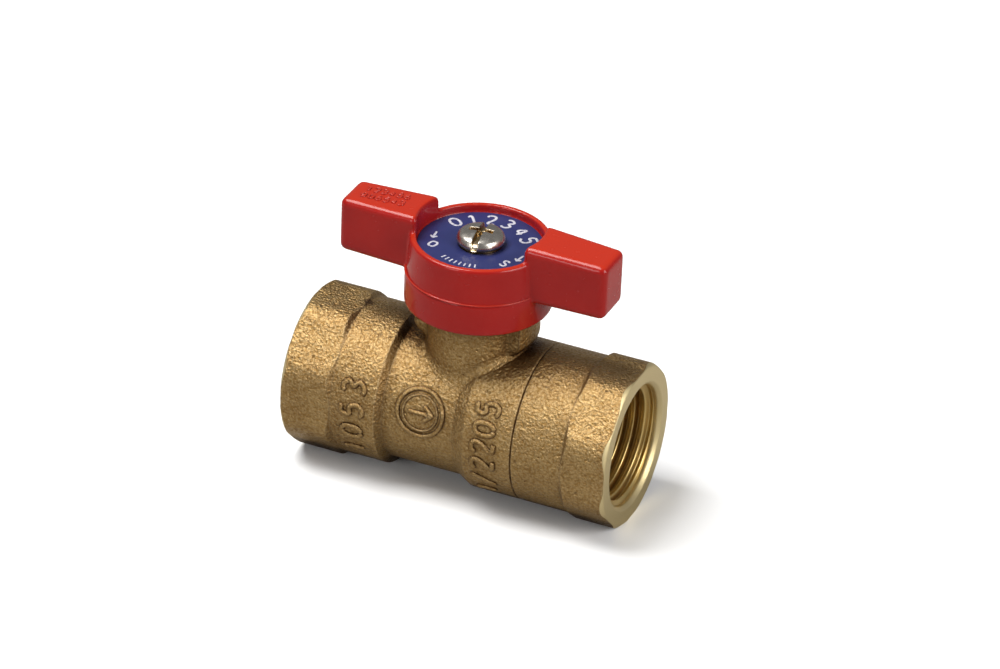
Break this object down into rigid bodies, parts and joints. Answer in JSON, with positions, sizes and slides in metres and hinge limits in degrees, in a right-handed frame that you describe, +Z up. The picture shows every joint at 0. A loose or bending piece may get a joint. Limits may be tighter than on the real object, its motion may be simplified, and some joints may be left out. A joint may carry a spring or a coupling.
{
  "type": "gas ball valve",
  "caption": "Small two-piece brass ball valve with female pipe threads at both ends, rounded octagonal wrench ends and a red wing handle that turns a quarter turn.",
  "frame": {"origin": "centre of the bounding box at its base: under the crossing of the pipe axis and the stem axis, on the plane of the two lower wrench flats", "axes": "+X along the pipe from the body's inlet port to the end cap's outlet port, +Z up along the stem to the handle screw, +Y across the pipe"},
  "size_m": [0.0586, 0.027, 0.0482],
  "materials": {
    "cast_brass": "shot-blasted casting with turned ends",
    "chromed_brass": "polished",
    "ptfe": "smooth",
    "turned_brass": "turned",
    "nitrile": "moulded",
    "red_enamel": "gloss red enamel on die-cast zinc",
    "blue_label": "printed blue disc with white marks",
    "nickel_steel": "bright nickel plate"
  },
  "bodies": {
    "valve_body": {"body": "cast_brass", "end_cap": "cast_brass", "seat_inlet": "ptfe", "seat_outlet": "ptfe", "joint_gasket": "ptfe"},
    "handle_and_stem": {"handle": "red_enamel", "label_disc": "blue_label", "lock_washer": "nickel_steel", "handle_screw": "nickel_steel", "stem": "turned_brass", "thrust_washer": "ptfe", "stem_oring_lower": "nitrile", "stem_oring_upper": "nitrile"},
    "ball": {"ball": "chromed_brass"}
  },
  "joints": [
    {"name": "handle_turn", "type": "hinge", "parent": "valve_body", "child": "handle_and_stem", "pos_m": [0, 0, 0.0135], "axis": [0, 0, 1], "range_deg": [-90, 0]},
    {"name": "ball_turn", "type": "hinge", "parent": "valve_body", "child": "ball", "pos_m": [0, 0, 0.0135], "axis": [0, 0, 1], "range_deg": [-90, 0]}
  ],
  "couplings": [
    {"joint": "ball_turn", "follows": "handle_turn", "ratio": 1}
  ]
}
